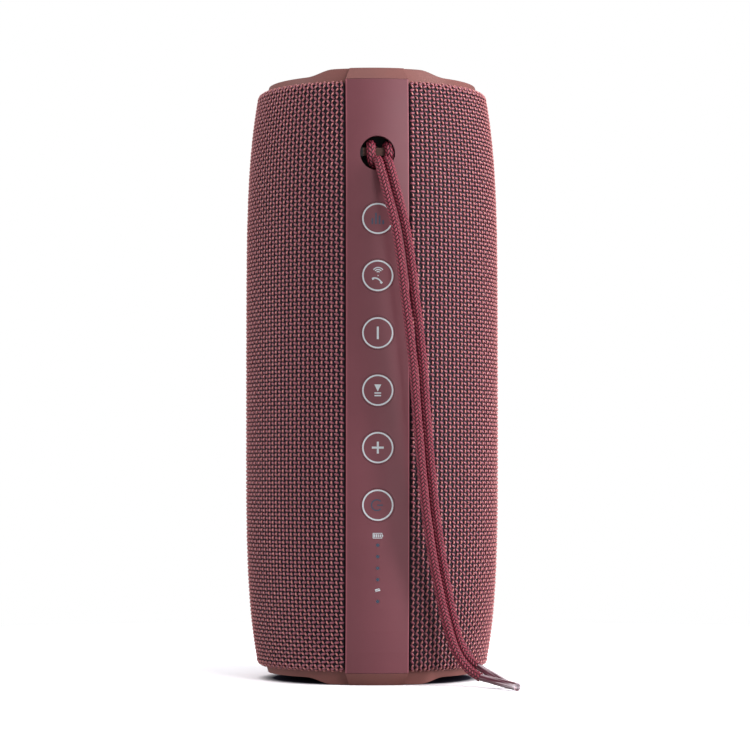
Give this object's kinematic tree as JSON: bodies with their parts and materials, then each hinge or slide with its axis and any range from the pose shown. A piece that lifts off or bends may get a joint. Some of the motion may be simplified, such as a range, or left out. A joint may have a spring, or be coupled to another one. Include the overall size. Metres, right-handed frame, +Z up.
{
  "type": "portable party speaker",
  "caption": "Upright cylindrical portable speaker in woven cloth, with a front strip of round push buttons, a passive radiator in each end, a rear port door and a wrist lanyard.",
  "frame": {"origin": "middle of the flat base, on the barrel's axis", "axes": "+Z up along the barrel, -Y out of the control strip, +X to the right seen from the front"},
  "size_m": [0.0814, 0.1005, 0.189],
  "materials": {
    "cloth": "woven",
    "strip": "satin soft touch",
    "cap": "fine satin",
    "frame_plastic": "satin",
    "black_plastic": "matte",
    "cup_plastic": "satin",
    "cord": "braided",
    "aglet": "gloss",
    "window": "gloss",
    "led": "clear",
    "surround_rubber": "matte",
    "seal_rubber": "matte",
    "foot_rubber": "matte",
    "disc_metal": "brushed",
    "metal": "plain",
    "screw_steel": "black oxide",
    "magnet_steel": "zinc plated",
    "driver_frame": "black enamel",
    "cone_paper": "pressed paper",
    "spider_cloth": "resin-stiffened",
    "circuit_board": "solder mask",
    "cell_wrap": "shrink wrap"
  },
  "bodies": {
    "housing": {"cabinet": "black_plastic", "grille_shell_left": "black_plastic", "grille_shell_right": "black_plastic", "fabric_left": "cloth", "fabric_right": "cloth", "control_strip": "strip", "rear_rail": "strip", "tact_switches": "metal", "control_board": "circuit_board", "indicator_leds": "led", "indicator_windows": "window", "lanyard_cup": "cup_plastic", "lanyard_cup_seal": "seal_rubber", "lanyard_bar": "metal", "lanyard_hitch": "cord", "lanyard_strand_left": "cord", "lanyard_strand_right": "cord", "aglet_left": "aglet", "aglet_right": "aglet", "rear_feet": "foot_rubber", "port_bay": "black_plastic", "port_door_pin": "metal", "port_board": "circuit_board", "usb_socket": "metal", "aux_socket": "black_plastic", "card_socket": "metal", "cap_top": "cap", "cap_bottom": "cap", "radiator_frame_top": "frame_plastic", "radiator_frame_bottom": "frame_plastic", "radiator_surround_top": "surround_rubber", "radiator_surround_bottom": "surround_rubber", "end_seals": "seal_rubber", "end_screws": "screw_steel", "driver_gaskets": "seal_rubber", "driver_screws": "screw_steel", "battery_cells": "cell_wrap", "battery_holder": "black_plastic", "main_board": "circuit_board", "board_screws": "screw_steel", "driver_upper_frame": "driver_frame", "driver_upper_magnet": "magnet_steel", "driver_upper_surround": "surround_rubber", "driver_upper_spider": "spider_cloth", "driver_lower_frame": "driver_frame", "driver_lower_magnet": "magnet_steel", "driver_lower_surround": "surround_rubber", "driver_lower_spider": "spider_cloth"},
    "mode_key": {"button_mode": "strip"},
    "call_key": {"button_call": "strip"},
    "volume_down_key": {"button_volume_down": "strip"},
    "play_key": {"button_play": "strip"},
    "volume_up_key": {"button_volume_up": "strip"},
    "power_key": {"button_power": "strip"},
    "port_flap": {"port_door": "strip"},
    "lower_radiator": {"radiator_disc_bottom": "disc_metal"},
    "upper_radiator": {"radiator_disc_top": "disc_metal"},
    "upper_cone": {"driver_upper_cone": "cone_paper"},
    "lower_cone": {"driver_lower_cone": "cone_paper"}
  },
  "joints": [
    {"name": "mode_press", "type": "slide", "parent": "housing", "child": "mode_key", "axis": [0, 1, 0], "range_m": [0, 0.0005], "stiffness_N_per_m": 1500, "springref_m": -0.0003},
    {"name": "call_press", "type": "slide", "parent": "housing", "child": "call_key", "axis": [0, 1, 0], "range_m": [0, 0.0005], "stiffness_N_per_m": 1500, "springref_m": -0.0003},
    {"name": "volume_down_press", "type": "slide", "parent": "housing", "child": "volume_down_key", "axis": [0, 1, 0], "range_m": [0, 0.0005], "stiffness_N_per_m": 1500, "springref_m": -0.0003},
    {"name": "play_press", "type": "slide", "parent": "housing", "child": "play_key", "axis": [0, 1, 0], "range_m": [0, 0.0005], "stiffness_N_per_m": 1500, "springref_m": -0.0003},
    {"name": "volume_up_press", "type": "slide", "parent": "housing", "child": "volume_up_key", "axis": [0, 1, 0], "range_m": [0, 0.0005], "stiffness_N_per_m": 1500, "springref_m": -0.0003},
    {"name": "power_press", "type": "slide", "parent": "housing", "child": "power_key", "axis": [0, 1, 0], "range_m": [0, 0.0005], "stiffness_N_per_m": 1500, "springref_m": -0.0003},
    {"name": "port_door_swing", "type": "hinge", "parent": "housing", "child": "port_flap", "pos_m": [0, 0.038, 0.0625], "axis": [-1, 0, 0], "range_deg": [0, 90]},
    {"name": "lower_radiator_stroke", "type": "slide", "parent": "housing", "child": "lower_radiator", "axis": [0, 0, 1], "range_m": [-0.0015, 0.0015], "stiffness_N_per_m": 900, "deforming": ["radiator_surround_bottom"]},
    {"name": "upper_radiator_stroke", "type": "slide", "parent": "housing", "child": "upper_radiator", "axis": [0, 0, 1], "range_m": [-0.0015, 0.0015], "stiffness_N_per_m": 900, "deforming": ["radiator_surround_top"]},
    {"name": "upper_cone_stroke", "type": "slide", "parent": "housing", "child": "upper_cone", "axis": [-1, 0, 0], "range_m": [-0.0008, 0.0008], "stiffness_N_per_m": 1500, "deforming": ["driver_upper_surround", "driver_upper_spider"]},
    {"name": "lower_cone_stroke", "type": "slide", "parent": "housing", "child": "lower_cone", "axis": [-1, 0, 0], "range_m": [-0.0008, 0.0008], "stiffness_N_per_m": 1500, "deforming": ["driver_lower_surround", "driver_lower_spider"]}
  ]
}
